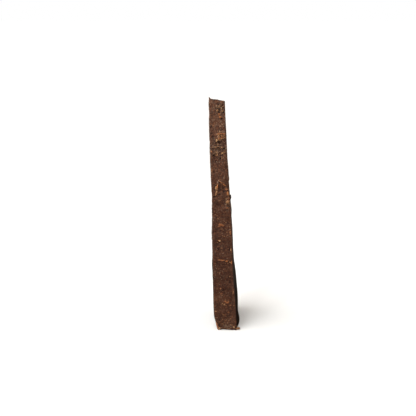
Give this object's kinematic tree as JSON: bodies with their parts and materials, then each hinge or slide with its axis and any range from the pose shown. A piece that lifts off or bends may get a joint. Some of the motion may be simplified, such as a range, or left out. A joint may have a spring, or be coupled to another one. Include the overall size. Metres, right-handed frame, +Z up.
{
  "type": "chocolate bark slab",
  "caption": "Upright shard of dark chocolate bark, snapped from a poured sheet, with chopped roasted nut showing in its broken edges",
  "frame": {"origin": "on the surface that the shard stands on, under the middle of its box", "axes": "+Z up along the shard's height, +X across its thickness to the right as the picture shows it, +Y away from the viewer, from the long broken front edge to the back edge"},
  "size_m": [0.014, 0.0336, 0.1032],
  "materials": {
    "dark_chocolate": "satin dark chocolate, matt and crumbly on the breaks, with chips of tan nut"
  },
  "bodies": {
    "root": {"bark_slab": "dark_chocolate"}
  },
  "joints": []
}
